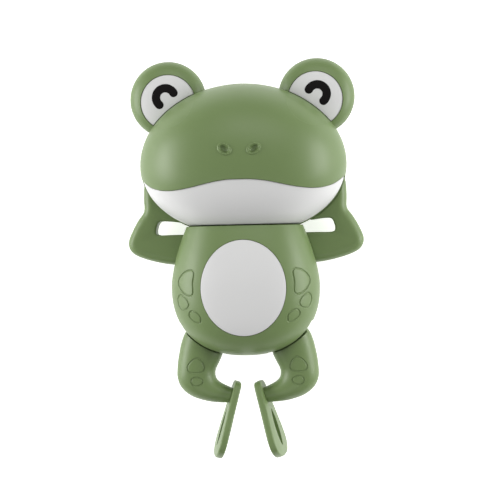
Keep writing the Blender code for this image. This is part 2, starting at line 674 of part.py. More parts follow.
def make_case():
    wall = 1.0 * MM
    tray = hull(case_circles(wall), (TRAY_Z[0], TRAY_TOP), "movement_tray", "inner_plastic", 16)
    cut(tray, hull(case_circles(0), (TRAY_Z[1], TRAY_TOP + 5 * MM), segments=20))
    cover = hull(case_circles(wall), COVER_Z, "movement_cover", "inner_plastic", 16)
    gasket = hull(case_circles(wall), (TRAY_TOP + 0.1 * MM, COVER_Z[0] - 0.1 * MM), "case_gasket", "rubber", 16)
    cut(gasket, hull(case_circles(0.1 * MM), mm(20, 24), segments=20))

    for i, spot in enumerate(CASE_SCREWS, 1):
        join(tray, cylinder(spot, 2.2 * MM, (TRAY_Z[0], TRAY_TOP), segments=10))
        cut(tray, cylinder(spot, 1.4 * MM, mm(9, 25), segments=10))
        cut(cover, cylinder(spot, 1.4 * MM, mm(20, 26), segments=10))
        head_bottom = COVER_Z[1] + 0.1 * MM
        screw = cylinder(spot, 2.1 * MM, (head_bottom, head_bottom + 1.2 * MM), f"case_screw_{i}", "steel", 16)
        join(screw, cylinder(spot, 1.15 * MM, (4.6 * MM, head_bottom + 0.5 * MM), segments=10))
        for half in [mm(1.2, 0.28), mm(0.28, 1.2)]:
            low = (spot[0] - half[0], spot[1] - half[1], head_bottom + 0.7 * MM)
            cut(screw, block(low, (spot[0] + half[0], spot[1] + half[1], head_bottom + 2 * MM)))

    # Bearings: the arbor runs through the tray, the crank shaft through the cover, each past a seal
    cut(tray, cylinder(WINDING, 2.05 * MM, mm(9, 13), segments=20),
        cylinder(WINDING, 3.2 * MM, (TRAY_Z[0] - 1 * MM, TRAY_Z[0] + 1.0 * MM), segments=20))
    ring_seal("winding_seal", WINDING, TRAY_Z[0] + 0.5 * MM, 2.6 * MM, 0.42 * MM)
    join(cover, cylinder(WINDING, 10.2 * MM, (SPRING_Z[0] - 0.5 * MM, COVER_Z[0] + 0.5 * MM), segments=28))
    cut(cover, cylinder(WINDING, 9.2 * MM, (SPRING_Z[0] - 1 * MM, COVER_Z[0]), segments=28),
        cylinder(WINDING, 2.05 * MM, mm(20, 23.6), segments=20),
        cylinder(CRANK, 1.75 * MM, mm(20, 26), segments=10),
        cylinder(CRANK, 2.8 * MM, (COVER_Z[1] - 1.0 * MM, COVER_Z[1] + 1 * MM), segments=20))
    ring_seal("crank_seal", CRANK, COVER_Z[1] - 0.5 * MM, 2.25 * MM, 0.4 * MM)
    cut(tray, cylinder(CRANK, 1.2 * MM, mm(10.5, 13), segments=10))
    slipping = [(SECOND[0] + d * 0.5 * MM, SECOND[1] + d * 0.3 * MM) for d in (0, 1.8)]
    for holder, z_range in ((tray, mm(10.5, 13)), (cover, mm(20, 23.6))):
        cut(holder, hull([(spot, 0.95 * MM) for spot in slipping], z_range, segments=10),
            cylinder(THIRD, 0.95 * MM, z_range, segments=10))
    for name, spot in (("second_arbor", SECOND), ("third_arbor", THIRD)):
        cylinder(spot, 0.75 * MM, mm(10.7, 23.4), name, "steel", 14)
    for y in (-4.5, -22.4):
        join(cover, cylinder(mm(0, y), 1.2 * MM, (COVER_Z[1] - 0.5 * MM, YOKE_Z[1] + 0.7 * MM), segments=10))


def make_mainspring():
    """A flat strip wound in five and a half turns."""
    turns, per_turn, inner, outer, thickness = 4.5, 12, 2.5, 8.7, 0.3
    count = int(turns * per_turn)
    line = []
    for i in range(count + 1):
        radius = inner + (outer - inner) * i / count
        turn = 2 * math.pi * i / per_turn
        line.append((radius, turn))
    sides = []
    for offset in (-thickness / 2, thickness / 2):
        sides.append([(WINDING[0] + (r + offset) * MM * math.cos(a), WINDING[1] + (r + offset) * MM * math.sin(a))
                      for r, a in line])
    bm = bmesh.new()
    low, high = SPRING_Z
    rows = [[bm.verts.new((x, y, z)) for x, y in side] for side in sides for z in (low, high)]
    inner_low, inner_high, outer_low, outer_high = rows
    for i in range(count):
        bm.faces.new((inner_low[i], inner_low[i + 1], inner_high[i + 1], inner_high[i]))
        bm.faces.new((outer_low[i], outer_high[i], outer_high[i + 1], outer_low[i + 1]))
        bm.faces.new((inner_high[i], inner_high[i + 1], outer_high[i + 1], outer_high[i]))
        bm.faces.new((inner_low[i], outer_low[i], outer_low[i + 1], inner_low[i + 1]))
    for i in (0, count):
        bm.faces.new((inner_low[i], inner_high[i], outer_high[i], outer_low[i]))
    add("mainspring", bm, "spring_steel")


def make_train():
    great_phase = 0.0
    second_pinion_phase = meshing(great_phase, GREAT_TEETH, WINDING, PINION_TEETH, SECOND)
    second_phase = second_pinion_phase
    third_pinion_phase = meshing(second_phase, SECOND_TEETH, SECOND, PINION_TEETH, THIRD)
    third_phase = third_pinion_phase
    crank_phase = meshing(third_phase, THIRD_TEETH, THIRD, PINION_TEETH, CRANK)

    great = gear("great_wheel", WINDING, GREAT_TEETH, great_phase, GREAT_Z)
    cut(great, cylinder(WINDING, 1.95 * MM, mm(10, 16), segments=20))
    for i in range(5):
        turn = 2 * math.pi * i / 5
        spot = (WINDING[0] + 5.3 * MM * math.cos(turn), WINDING[1] + 5.3 * MM * math.sin(turn))
        cut(great, cylinder(spot, 1.9 * MM, mm(10, 16), segments=10))

    second = gear("second_wheel", SECOND, SECOND_TEETH, second_phase, SECOND_Z)
    join(second, gear("tool", SECOND, PINION_TEETH, second_pinion_phase, PINION_Z))
    third = gear("third_wheel", THIRD, THIRD_TEETH, third_phase, THIRD_Z)
    join(third, gear("tool", THIRD, PINION_TEETH, third_pinion_phase, (THIRD_Z[1] - 0.3 * MM, 16.2 * MM)))
    for wheel, spot in ((second, SECOND), (third, THIRD)):
        cut(wheel, cylinder(spot, 0.75 * MM + RUN, mm(8, 20), segments=10))

    crank = gear("crank_pinion", CRANK, PINION_TEETH, crank_phase, (PINION_Z[0], PINION_Z[0] + 2.2 * MM))
    join(crank, cylinder(CRANK, 1.5 * MM, (PINION_Z[0] + 1 * MM, DISC_Z[0] + 0.8 * MM), segments=10),
         cylinder(CRANK, 1.0 * MM, (10.8 * MM, PINION_Z[0] + 0.5 * MM), segments=10))

    # The crank disc: its pin ends just under the yoke's slot
    disc = cylinder(CRANK, 4.4 * MM, DISC_Z, "crank_disc", "gear_plastic", 24)
    angle = math.asin(LEVER_REACH * math.tan(HIP_REST) / CRANK_THROW)
    pin = (CRANK[0] + CRANK_THROW * math.cos(angle), CRANK[1] + CRANK_THROW * math.sin(angle))
    join(disc, cylinder(pin, 1.2 * MM, (DISC_Z[1] - 0.5 * MM, YOKE_Z[0] - GAP), segments=10))
    cut(disc, cylinder(CRANK, 1.7 * MM, (DISC_Z[0] - 1 * MM, DISC_Z[0] + 1.0 * MM), segments=10))

    arbor = cylinder(WINDING, 1.8 * MM, mm(3.6, 23.3), "winding_arbor", "steel", 20)
    cut(arbor, cylinder(WINDING, 1.05 * MM, mm(3, 9), segments=10))


def make_knob():
    """A round knob with a grip bar and a scalloped edge, sunk in the well in the back."""
    knob = cylinder(WINDING, 9.6 * MM, mm(4.4, 7.5), "winding_knob", "white_plastic", 48)
    for i in range(12):
        turn = 2 * math.pi * (i + 0.5) / 12
        spot = (WINDING[0] + 10.3 * MM * math.cos(turn), WINDING[1] + 10.3 * MM * math.sin(turn))
        cut(knob, cylinder(spot, 1.6 * MM, mm(3, 9), segments=10))
    ends = [(WINDING[0], WINDING[1] + d * MM) for d in (-6.2, 6.2)]
    join(knob, hull([(spot, 2.3 * MM) for spot in ends], mm(0.7, 5), segments=18),
         cylinder(WINDING, 4.0 * MM, mm(0.7, 5), segments=20))
    cut(knob, cylinder(WINDING, 2.0 * MM, mm(3.4, 9), segments=20),
        cylinder(WINDING, 2.4 * MM, mm(0, 2.3), segments=20),
        cylinder(WINDING, 1.2 * MM, mm(1, 5), segments=10))
    screw = cylinder(WINDING, 2.1 * MM, mm(1.0, 2.2), "knob_screw", "steel", 16)
    join(screw, cylinder(WINDING, 0.9 * MM, mm(2, 8.4), segments=10))
    for half in [mm(1.2, 0.28), mm(0.28, 1.2)]:
        low = (WINDING[0] - half[0], WINDING[1] - half[1], 0)
        cut(screw, block(low, (WINDING[0] + half[0], WINDING[1] + half[1], 1.6 * MM)))


def make_yoke():
    """The sliding plate: a cross slot for the crank pin, two guide slots, and a pin for each leg."""
    lift = LEVER_REACH * math.tan(HIP_REST)
    pins_y = HIP[1] + lift
    slot_y = CRANK[1] + lift
    pin_x = HIP[0] - LEVER_REACH
    yoke = hull([(mm(0, 0.2), 3.2 * MM), (mm(0, -26), 3.2 * MM)], YOKE_Z, "drive_yoke", "gear_plastic")
    join(yoke, hull([((-3.6 * MM, slot_y), 3.2 * MM), ((3.6 * MM, slot_y), 3.2 * MM)], YOKE_Z),
         hull([((-pin_x, pins_y), 2.2 * MM), ((pin_x, pins_y), 2.2 * MM)], YOKE_Z))
    cut(yoke, hull([((-2.7 * MM, slot_y), 1.5 * MM), ((2.7 * MM, slot_y), 1.5 * MM)], mm(26, 32), segments=10))
    for y in (-4.5, -22.4):
        cut(yoke, hull([(mm(0, y - 1.1), 1.45 * MM), (mm(0, y + 3.8), 1.45 * MM)], mm(26, 32), segments=10))
    for sign in (-1, 1):
        join(yoke, cylinder((sign * pin_x, pins_y), 1.1 * MM, (LEVER_Z[0] - 0.1 * MM, YOKE_Z[0] + 0.5 * MM), segments=10))


def set_origin(name, x, y, z=LEG_Z):
    """Puts a moving piece's origin on its joint's axis, with the piece where it was."""
    obj = bpy.data.objects[name]
    obj.data.transform(Matrix.Translation((-x, -y, -z)))
    obj.location = (x, y, z)


def main():
    for obj in list(bpy.data.objects):
        bpy.data.objects.remove(obj)
    make_head()
    make_body()
    make_arm()
    make_leg()
    make_fin()
    make_case()
    make_mainspring()
    make_train()
    make_knob()
    make_yoke()
    for word, side in SIDES.items():
        for piece in ("leg", "lever", "fin"):
            set_origin(f"{piece}_{word}", side * HIP[0], HIP[1])
    turning = {
        WINDING: ("winding_knob", "knob_screw", "winding_arbor", "great_wheel"),
        SECOND: ("second_wheel",), THIRD: ("third_wheel",), CRANK: ("crank_pinion", "crank_disc")}
    for axis, names in turning.items():
        for name in names:
            set_origin(name, *axis)
    for obj in bpy.data.objects:
        obj.data.shade_smooth()
        obj.data.set_sharp_from_angle(angle=math.radians(35))


main()
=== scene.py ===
"""A wind-up swimming frog, a plastic bath toy, lying on its back: its outer mouldings and finishes."""

import json
import math

import bmesh
import bpy
from mathutils import Matrix, Vector
from mathutils.bvhtree import BVHTree


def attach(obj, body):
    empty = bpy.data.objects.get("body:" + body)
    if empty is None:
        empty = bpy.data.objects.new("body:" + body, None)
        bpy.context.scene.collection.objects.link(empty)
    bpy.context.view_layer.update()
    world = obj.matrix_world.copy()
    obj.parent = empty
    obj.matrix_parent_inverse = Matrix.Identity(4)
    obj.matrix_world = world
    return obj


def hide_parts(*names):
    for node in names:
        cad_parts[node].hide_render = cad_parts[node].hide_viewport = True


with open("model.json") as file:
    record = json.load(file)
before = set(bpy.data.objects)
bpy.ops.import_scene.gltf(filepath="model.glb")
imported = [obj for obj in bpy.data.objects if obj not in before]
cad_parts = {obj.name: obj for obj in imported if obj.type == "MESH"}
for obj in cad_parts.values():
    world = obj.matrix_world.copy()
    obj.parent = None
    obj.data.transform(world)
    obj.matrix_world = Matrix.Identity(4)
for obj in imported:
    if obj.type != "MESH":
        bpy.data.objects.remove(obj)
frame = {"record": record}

MM = 0.001


def mm(*values):
    """Millimetres to metres, for one number or for a point."""
    scaled = tuple(v * MM for v in values)
    return scaled if len(scaled) > 1 else scaled[0]


# ---- sizes ----
GAP = 0.3 * MM  # between pieces that rest on each other
WALL = 2.0 * MM
FAR = 60 * MM  # beyond every surface of the toy
PARTING = 19.0 * MM  # height of the plane where front and rear shells meet
SIDES = {"left": 1, "right": -1}

HEAD_CENTRE = Vector(mm(0, 39.3, 19))
HEAD_LOW = mm(43, 29.6, 20.5)
HEAD_HIGH = mm(43, 33.6, 29)
HEAD_OUTLINE_POWERS = (2.1, 1.97)  # roundness seen from the front, below and above the centre
HEAD_DEPTH_POWERS = (2.5, 2.2)  # roundness from front to back, behind and before the centre
CHIN = 13.8 * MM
MOUTH = [(0, 32.3), (5, 32.2), (10, 31.6), (15, 30.6), (20, 29.5), (25, 28.7), (29.5, 28.4),
         (34, 28.9), (38, 30.4), (42, 33.6), (47, 38.5)]
LIP = 0.45 * MM  # how far the upper face stands out over the jaw
NOSTRIL = mm(5.9, 44.4)
NOSTRIL_HALF = mm(2.0, 1.2, 1.0)  # half sizes of the dimple

EAR_CENTRE = mm(31.0, 67.1, 17)
EAR_RADIUS = 15.9 * MM
EAR_HALF_DEPTH = 8.0 * MM
EAR_POWER = 2.6
EYE_CENTRE = mm(30.6, 65.6)
EYE_RADIUS = 11.3 * MM
EYE_FLOOR, EYE_BACK = mm(20.8, 21.2)  # bottom of the recess, and back of the white inset
MARK_CENTRE = mm(31.5, 67.5)
MARK_RADIUS = 3.9 * MM
MARK_STROKE = 3.5 * MM

BODY_MIDDLE = -11.0 * MM
BODY_WIDTH = 30.9 * MM
BODY_FRONT = 21.0 * MM
BODY_REAR = 20.5 * MM
BODY_UP = 54.6 * MM
BODY_DOWN = 29.2 * MM
BODY_TOP = CHIN - 0.1 * MM
SECTION_POWER = 2.3
BELLY_CENTRE = mm(0, -11.8)
BELLY_HALF = mm(17.4, 19.6)
NECK_HALF = mm(10, 8)
NECK_TOP = 20.6 * MM
FLANGE = 1.8 * MM  # how far the neck's flange stands out round it
WINDING = mm(0, -1)
WELL_RADIUS = 12.5 * MM
WELL_FLOOR = mm(8.0, 9.6)
BODY_SCREWS = [mm(20.5, 9.5), mm(-20.5, 9.5), mm(25.5, -9), mm(-25.5, -9)]
HEAD_SCREWS = [mm(24, 42), mm(-24, 42), mm(0, 62)]
CASE_SCREWS = [mm(-9.5, -14), mm(-10.5, 7.5), mm(12, 7), mm(18, -16.6)]
FRONT_BOSS, REAR_BOSS, CASE_BOSS = 3 * MM, 3.6 * MM, 2.6 * MM  # radii round the screws
PILOT_HOLE, SHANK_HOLE, HEAD_HOLE = 1.45 * MM, 1.5 * MM, 2.6 * MM  # radii for the screws
KNOB_RADIUS = 9.6 * MM
KNOB_Z = mm(4.4, 7.5)
GRIP_Z = mm(0.7, 5)
GRIP_REACH = 6.2 * MM
SCALLOPS = 12

HIP = mm(16, -26)
LEG_Z = 16.5 * MM
HIP_BOSS, HIP_HOLE = 3 * MM, 1.7 * MM
LIMB = [  # (x, y) on the inner edge, (x, y) on the outer edge and half the depth along Z, hip to ankle
    (11.6, -26.0, 20.4, -26.0, 5.4), (10.4, -30.0, 25.3, -29.6, 6.2), (10.0, -35.0, 27.4, -33.8, 6.5),
    (10.5, -39.5, 28.7, -39.2, 6.5), (11.9, -42.8, 29.5, -44.6, 6.4), (13.3, -45.6, 29.5, -49.6, 6.2),
    (13.7, -47.8, 27.6, -53.8, 6.0), (13.2, -49.7, 23.4, -57.1, 5.6), (11.8, -51.2, 17.5, -59.1, 5.0),
    (9.5, -52.5, 12.5, -59.8, 4.4), (6.4, -53.9, 7.5, -60.0, 3.9), (3.5, -54.8, 3.5, -60.1, 3.7)]
LEG_SLOT_Z = mm(9.2, 23.8)
LEG_SWING = (-5, 7, 19)  # both ends of the left leg's swing and its middle, in degrees
FIN_HEEL = Vector(mm(2.9, -51.6, 16.5))
FIN_TOE = Vector(mm(12.2, -83.1, 16.5))
FIN_SPLAY = math.radians(8)
FIN_THICKNESS = 2.9 * MM
FIN_DISH = 1.6 * MM
FIN_LENS = [  # (distance from the heel, across) round the hollow in the outer face
    (12.5, -1), (16, 1.4), (21, 2.2), (26, 1.2), (28.5, -1), (26, -3.2), (21, -4.2), (16, -3.4)]
FIN_OUTLINE = [  # (distance from the heel, half width)
    (0.0, 3.0), (1.2, 5.2), (5.0, 6.8), (12.0, 8.8), (20.0, 11.6), (25.0, 12.8), (28.5, 12.2), (31.0, 9.6),
    (32.4, 5.6), (32.8, 0.0)]

ARM_Z = mm(4.5, 15.5)
ARM = [  # outline from the shoulder round the gap beside the neck, the hand, the elbow and back
    (23, 10.6), (30, 10.6), (36.2, 10.6), (37.6, 11.9), (36.9, 15.0), (35.4, 16.4), (31, 16.2), (27, 15.9),
    (25.0, 18.5), (25.6, 24), (27.5, 29.5), (31.5, 33.2), (35.5, 35.6), (39.5, 35.6), (42.2, 32.5),
    (42.7, 26), (42.7, 20.8), (45.1, 17.2), (47.5, 13.0), (49.4, 8.4), (49.1, 5.2), (47.0, 2.7),
    (42.3, 0.6), (35.4, -1.2), (29, -2.1), (23, -2.6)]
ARM_GAP_CORNERS = 8  # the first of those points go round the gap, and keep tighter edges
ARM_EDGES = mm(0.8, 3.4)  # radius of the edges round the gap, and elsewhere
SHOULDER = mm(4.5, 10.0)  # Y and Z of the arm's peg
SHOULDER_PEG = 2.8 * MM

# Pads engraved on the body and the legs: outlines on the left side
BODY_PADS = [
    [(21.4, -4.2), (24.1, -4.9), (26.5, -7.4), (27.0, -9.6), (25.7, -12.4), (23.5, -14.3), (21.5, -14.6),
     (20.7, -13.2), (20.8, -9.6), (20.3, -6.6), (20.3, -5.0)],
    [(26.0, -14.3), (27.4, -15.6), (27.2, -18.2), (25.9, -20.2), (23.9, -20.2), (22.7, -18.6), (23.5, -16.2)],
    [(20.7, -20.9), (22.4, -21.6), (22.5, -23.2), (20.7, -25.0), (18.5, -25.9), (17.8, -25.2), (18.1, -22.8)]]
LEG_PADS = [
    [(21.0, -40.9), (23.4, -42.4), (24.9, -44.8), (24.0, -46.6), (21.4, -47.1), (18.7, -46.5), (17.9, -44.7),
     (19.0, -42.0)],
    [(21.1, -48.9), (22.9, -49.4), (23.4, -50.8), (22.4, -52.3), (20.6, -52.5), (19.0, -51.5), (18.9, -50.0)]]


# ---- modelling helpers ----
def made(name, bm):
    """A bmesh made into an object, with its faces pointing out."""
    bm.normal_update()
    bmesh.ops.recalc_face_normals(bm, faces=bm.faces)
    mesh = bpy.data.meshes.new(name)
    bm.to_mesh(mesh)
    bm.free()
    obj = bpy.data.objects.new(name, mesh)
    bpy.context.scene.collection.objects.link(obj)
    return obj


def combine(target, tools, operation):
    """Applies exact Booleans one after another and removes the tools."""
    for tool in tools:
        modifier = target.modifiers.new("combine", "BOOLEAN")
        modifier.operation = operation
        modifier.solver = "EXACT"
        modifier.object = tool
    graph = bpy.context.evaluated_depsgraph_get()
    mesh = bpy.data.meshes.new_from_object(target.evaluated_get(graph))
    target.modifiers.clear()
    target.data = mesh
    for tool in tools:
        bpy.data.objects.remove(tool)
    return target


def cut(target, *tools):
    return combine(target, tools, "DIFFERENCE")


def join(target, *tools):
    return combine(target, tools, "UNION")


def keep(target, *tools):
    return combine(target, tools, "INTERSECT")


def copy_of(obj, name):
    twin = bpy.data.objects.new(name, obj.data.copy())
    bpy.context.scene.collection.objects.link(twin)
    return twin


def mirrored(obj, name):
    """A copy on the other side of the plane X = 0, with its faces still pointing out."""
    twin = copy_of(obj, name)
    twin.data.transform(Matrix.Diagonal((-1, 1, 1, 1)))
    twin.data.flip_normals()
    return twin


def settle(obj, material, body, slot, *nodes, angle=35):
    """Welds slivers, shades the piece, gives its finish and puts it on its body in place of CAD nodes."""
    bm = bmesh.new()
    bm.from_mesh(obj.data)
    bmesh.ops.remove_doubles(bm, verts=bm.verts, dist=0.01 * MM)
    bmesh.ops.dissolve_degenerate(bm, edges=bm.edges, dist=0.005 * MM)
    bm.to_mesh(obj.data)
    bm.free()
    obj.data.shade_smooth()
    obj.data.set_sharp_from_angle(angle=math.radians(angle))
    obj.data.materials.clear()
    obj.data.materials.append(material)
    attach(obj, body)
    if nodes:
        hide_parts(*nodes)
    return obj


def cylinder(centre, radius, z_range, segments=40):
    """An upright cylinder."""
    low, high = z_range
    bm = bmesh.new()
    place = Matrix.Translation((centre[0], centre[1], (low + high) / 2))
    bmesh.ops.create_cone(bm, cap_ends=True, segments=segments, radius1=radius,
                          radius2=radius, depth=high - low, matrix=place)
    return made("tool", bm)


def block(low, high):
    bm = bmesh.new()
    bmesh.ops.create_cube(bm, size=1)
    size = Vector(high) - Vector(low)
    middle = (Vector(high) + Vector(low)) / 2
    bmesh.ops.transform(bm, matrix=Matrix.Translation(middle) @ Matrix.Diagonal((*size, 1)), verts=bm.verts)
    return made("tool", bm)


def hull(circles, z_range, segments=40):
    """The upright convex prism that just holds the circles, each (centre, radius)."""
    bm = bmesh.new()
    for centre, radius in circles:
        for z in z_range:
            place = Matrix.Translation((centre[0], centre[1], z))
            bmesh.ops.create_circle(bm, segments=segments, radius=radius, matrix=place)
    result = bmesh.ops.convex_hull(bm, input=bm.verts)
    inside = [v for v in result["geom_interior"] if isinstance(v, bmesh.types.BMVert)]
    bmesh.ops.delete(bm, geom=inside, context="VERTS")
    bmesh.ops.dissolve_limit(bm, angle_limit=math.radians(1), verts=bm.verts, edges=bm.edges)
    return made("tool", bm)


def raised(bm, height):
    """Extrudes the bmesh's one flat face upwards."""
    grown = bmesh.ops.extrude_face_region(bm, geom=bm.faces[:])
    top = [v for v in grown["geom"] if isinstance(v, bmesh.types.BMVert)]
    bmesh.ops.translate(bm, verts=top, vec=(0, 0, height))


def prism(outline, z_range):
    """An outline in the XY plane, in metres, extruded between two heights."""
    low, high = z_range
    bm = bmesh.new()
    bm.faces.new([bm.verts.new((x, y, low)) for x, y in outline])
    raised(bm, high - low)
    return made("tool", bm)


def through(points, steps, closed=False):
    """A Catmull-Rom curve through the points, which may hold any number of values each."""
    ends = [points[-1], *points, points[0], points[1]] if closed else [points[0], *points, points[-1]]
    found = []
    for a, b, c, d in zip(ends, ends[1:], ends[2:], ends[3:]):
        for i in range(steps):
            t = i / steps
            found.append(tuple(
                0.5 * (2 * q + (r - p) * t + (2 * p - 5 * q + 4 * r - s) * t * t
                       + (3 * q - p - 3 * r + s) * t ** 3)
                for p, q, r, s in zip(a, b, c, d)))
    return found if closed else [*found, tuple(points[-1])]


def clip(bm, point, outward):
    """Cuts off what lies beyond a plane and closes the cut."""
    geometry = [*bm.verts, *bm.edges, *bm.faces]
    cut_edges = bmesh.ops.bisect_plane(
        bm, geom=geometry, dist=1e-7, plane_co=point, plane_no=outward, clear_outer=True)["geom_cut"]
    bmesh.ops.contextual_create(bm, geom=[e for e in cut_edges if isinstance(e, bmesh.types.BMEdge)])


def ball(cuts):
    """A unit sphere of even quads with no poles."""
    bm = bmesh.new()
    bmesh.ops.create_cube(bm, size=2)
    bmesh.ops.subdivide_edges(bm, edges=bm.edges[:], cuts=cuts, use_grid_fill=True)
    for v in bm.verts:
        v.co = Vector(math.tan(c * math.pi / 4) for c in v.co).normalized()
    return bm


# ---- the outer forms ----
def head_point(direction, low, high):
    """The point of the head that lies in a direction from its centre."""
    x, y, z = (direction[i] / (high[i] if direction[i] >= 0 else low[i]) for i in range(3))
    p, q = HEAD_OUTLINE_POWERS[y >= 0], HEAD_DEPTH_POWERS[z >= 0]
    outline = (abs(x) ** p + abs(y) ** p) ** (1 / p)
    return HEAD_CENTRE + Vector(direction) * (outline ** q + abs(z) ** q) ** (-1 / q)


def head_form(inset=0.0, cuts=35):
    bm = ball(cuts)
    low = [s - inset for s in HEAD_LOW]
    high = [s - inset for s in HEAD_HIGH]
    for v in bm.verts:
        v.co = head_point(v.co, low, high)
    clip(bm, (0, CHIN + inset, 0), (0, -1, 0))
    clip(bm, (0, 0, inset), (0, 0, -1))
    return made("tool", bm)


def ear_form(side, inset=0.0, cuts=23):
    """A plump disc that faces +Z."""
    bm = ball(cuts)
    radius, depth = EAR_RADIUS - inset, EAR_HALF_DEPTH - inset
    centre = Vector((side * EAR_CENTRE[0], EAR_CENTRE[1], EAR_CENTRE[2]))
    for v in bm.verts:
        flat = math.hypot(v.co.x, v.co.y)
        scale = ((flat / radius) ** EAR_POWER + (abs(v.co.z) / depth) ** EAR_POWER) ** (-1 / EAR_POWER)
        v.co = centre + v.co * scale
    return made("tool", bm)


def taper(distance, power):
    """How much of its full size a form keeps at a distance from its widest section."""
    return max(0.0, 1 - distance ** power) ** (1 / power)


def body_form(inset=0.0, cuts=35):
    """The egg of the body."""
    bm = ball(cuts)
    for v in bm.verts:
        height, ring = v.co.y, math.hypot(v.co.x, v.co.z)
        cosine, sine = (v.co.x / ring, v.co.z / ring) if ring > 1e-6 else (0, 0)
        if height >= 0:
            y = BODY_MIDDLE + height * (BODY_UP - inset)
            wide = deep = taper(height, 1.5)
        else:
            y = BODY_MIDDLE + height * (BODY_DOWN - inset)
            wide, deep = taper(-height, 2.3), taper(-height, 2.6)
        depth = (BODY_FRONT if sine >= 0 else BODY_REAR) - inset
        x = (BODY_WIDTH - inset) * wide * math.copysign(abs(cosine) ** (2 / SECTION_POWER), cosine)
        z = depth * deep * math.copysign(abs(sine) ** (2 / SECTION_POWER), sine)
        v.co = (x, y, PARTING + z)
    bmesh.ops.remove_doubles(bm, verts=bm.verts, dist=1e-6)
    clip(bm, (0, BODY_TOP - inset, 0), (0, 1, 0))
    clip(bm, (0, 0, inset), (0, 0, -1))
    return made("tool", bm)


def groove(outline, surface, radius=0.42 * MM):
    """A fine round bar laid on a surface along a closed outline, to cut a groove with."""
    tree = BVHTree.FromObject(surface, bpy.context.evaluated_depsgraph_get())
    curve = bpy.data.curves.new("groove", "CURVE")
    curve.dimensions = "3D"
    spline = curve.splines.new("POLY")
    line = through(outline, 6, closed=True)
    spline.points.add(len(line) - 1)
    spline.use_cyclic_u = True
    for point, (x, y) in zip(spline.points, line):
        hit = tree.ray_cast(Vector((x * MM, y * MM, 0.1)), Vector((0, 0, -1)))
        point.co = (*(hit[0] + hit[1] * 0.1 * MM), 1)
    curve.bevel_depth = radius
    curve.bevel_resolution = 2
    curve.render_resolution_u = 0
    bar = bpy.data.objects.new("groove", curve)
    bpy.context.scene.collection.objects.link(bar)
    mesh = bpy.data.meshes.new_from_object(bar.evaluated_get(bpy.context.evaluated_depsgraph_get()))
    bpy.data.objects.remove(bar)
    obj = bpy.data.objects.new("groove", mesh)
    bpy.context.scene.collection.objects.link(obj)
    return obj


def other_side(outline):
    return [(-x, y) for x, y in outline]


# ---- finishes ----
class Signal:
    """A socket of a shader tree that Python's arithmetic works on."""

    def __init__(self, tree, socket=None):
        self.tree, self.socket = tree, socket

    def node(self, kind, settings=None, values=None, output=0):
        """A node of any kind: its settings first, then what its sockets hold or are linked to."""
        node = self.tree.nodes.new(kind)
        for name, value in (settings or {}).items():
            setattr(node, name, value)
        for name, value in (values or {}).items():
            if isinstance(value, Signal):
                self.tree.links.new(value.socket, node.inputs[name])
            else:
                node.inputs[name].default_value = value
        return Signal(self.tree, node.outputs[output] if len(node.outputs) else None)

    def maths(self, operation, *values):
        return self.node("ShaderNodeMath", {"operation": operation}, dict(enumerate(values)))

    def __add__(self, other):
        return self.maths("ADD", self, other)

    __radd__ = __add__

    def __mul__(self, other):
        return self.maths("MULTIPLY", self, other)

    __rmul__ = __mul__

    def noise(self, scale, detail=2.0, rough=0.5):
        """Noise in object space, where scale is the number of features in a metre."""
        place = self.node("ShaderNodeTexCoord", output="Object")
        return self.node("ShaderNodeTexNoise", {}, {"Vector": place, "Scale": scale, "Detail": detail,
                                                    "Roughness": rough})


def blend_colours(signal, amount, first, second):
    return signal.node("ShaderNodeMix", {"data_type": "RGBA"}, {0: amount, 6: first, 7: second}, output=2)


def moulded_plastic(name, colour, roughness=0.4, mottle=0.05, grain=0.05, round_edges=0.35, shine=0.5):
    """Satin moulded plastic: faint flow marks, handling haze, a fine spark-eroded grain and soft edges."""
    material = bpy.data.materials.new(name)
    material.use_nodes = True
    tree = material.node_tree
    shader = tree.nodes["Principled BSDF"]
    s = Signal(tree)
    flow = s.noise(38, 3)
    haze = s.noise(140, 5, 0.6)
    specks = s.noise(900, 2)
    light = tuple(min(1, c * (1 + mottle)) for c in colour) + (1,)
    deep = tuple(c * (1 - mottle) for c in colour) + (1,)
    base = blend_colours(s, flow * 0.8 + specks * 0.2, deep, light)
    tree.links.new(base.socket, shader.inputs["Base Color"])
    rough = roughness - 0.05 + haze * 0.1
    tree.links.new(rough.socket, shader.inputs["Roughness"])
    texture = s.noise(3600, 2) + s.noise(1300, 2) * 0.6
    edge = s.node("ShaderNodeBevel", {"samples": 4}, {"Radius": round_edges * MM})
    bump = s.node("ShaderNodeBump", {}, {"Strength": grain, "Distance": 0.00006, "Height": texture,
                                         "Normal": edge})
    tree.links.new(bump.socket, shader.inputs["Normal"])
    shader.inputs["IOR"].default_value = 1.5
    shader.inputs["Specular IOR Level"].default_value = shine
    return material


def metal(name, colour, roughness, brushed=0.1):
    """Turned steel with a faint grain."""
    material = bpy.data.materials.new(name)
    material.use_nodes = True
    tree = material.node_tree
    shader = tree.nodes["Principled BSDF"]
    s = Signal(tree)
    streak = s.noise(2200, 3)
    tone = s.noise(300, 3)
    dark = tuple(c * 0.85 for c in colour) + (1,)
    tree.links.new(blend_colours(s, tone, dark, (*colour, 1)).socket, shader.inputs["Base Color"])
    tree.links.new((roughness + streak * brushed).socket, shader.inputs["Roughness"])
    shader.inputs["Metallic"].default_value = 1
    bump = s.node("ShaderNodeBump", {}, {"Strength": 0.08, "Distance": 0.00003, "Height": streak})
    tree.links.new(bump.socket, shader.inputs["Normal"])
    return material


# ---- the head ----
def mouth_prism(drop):
    """Everything below the mouth line, lowered by drop."""
    right = through(MOUTH, 8)
    line = [(-x, y) for x, y in reversed(right[1:])] + right
    outline = [(x * MM, y * MM - drop) for x, y in line] + [mm(47, 0), mm(-47, 0)]
    return prism(outline, mm(-5, 60))


